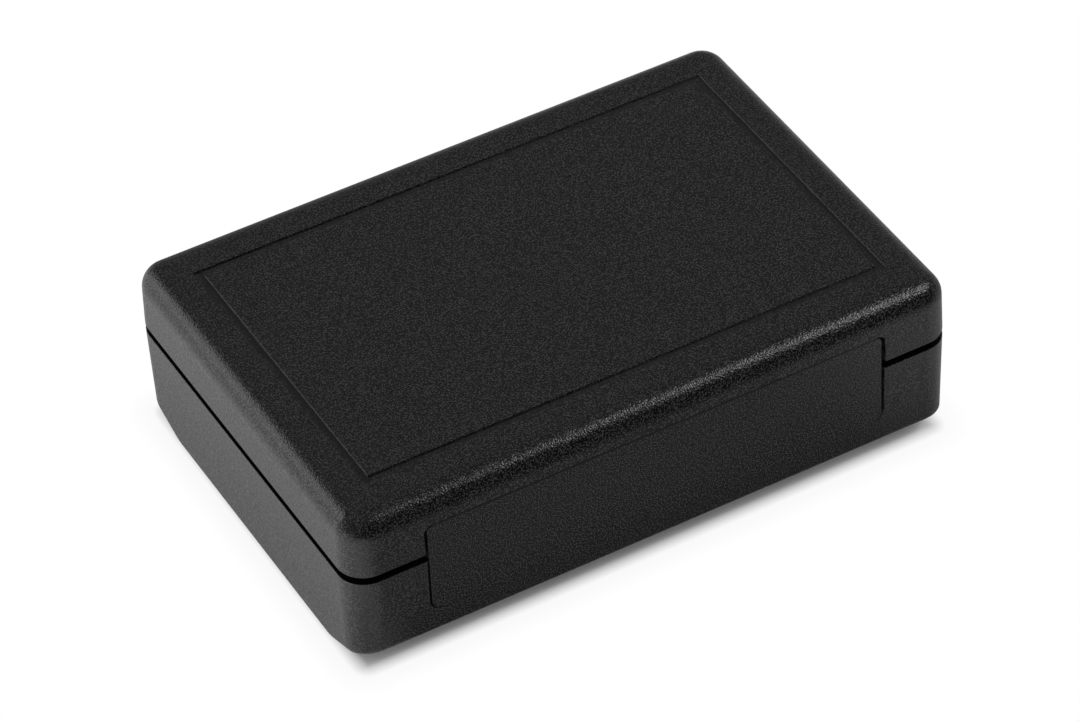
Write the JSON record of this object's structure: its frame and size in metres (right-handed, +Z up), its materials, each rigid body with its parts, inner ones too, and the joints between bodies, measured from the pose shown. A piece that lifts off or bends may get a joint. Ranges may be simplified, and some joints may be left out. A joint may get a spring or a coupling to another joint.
{
  "type": "plastic project box",
  "caption": "Black two-part moulded plastic project box with a flush removable panel in each long side and a framed label area on top.",
  "frame": {"origin": "centre of the footprint, on the surface that the box stands on", "axes": "+X along the long sides, +Z up; the front panel faces -Y and the rear panel +Y"},
  "size_m": [0.096, 0.066, 0.028],
  "materials": {
    "top_cover_plastic": "black ABS with a fine moulded grain",
    "bottom_cover_plastic": "black ABS with a fine moulded grain",
    "panel_plastic": "black ABS with a fine moulded grain",
    "screw_steel": "zinc plated"
  },
  "bodies": {
    "root": {"top_cover": "top_cover_plastic", "bottom_cover": "bottom_cover_plastic", "front_panel": "panel_plastic", "rear_panel": "panel_plastic", "screw_front_left": "screw_steel", "screw_front_right": "screw_steel", "screw_rear_left": "screw_steel", "screw_rear_right": "screw_steel"}
  },
  "joints": []
}
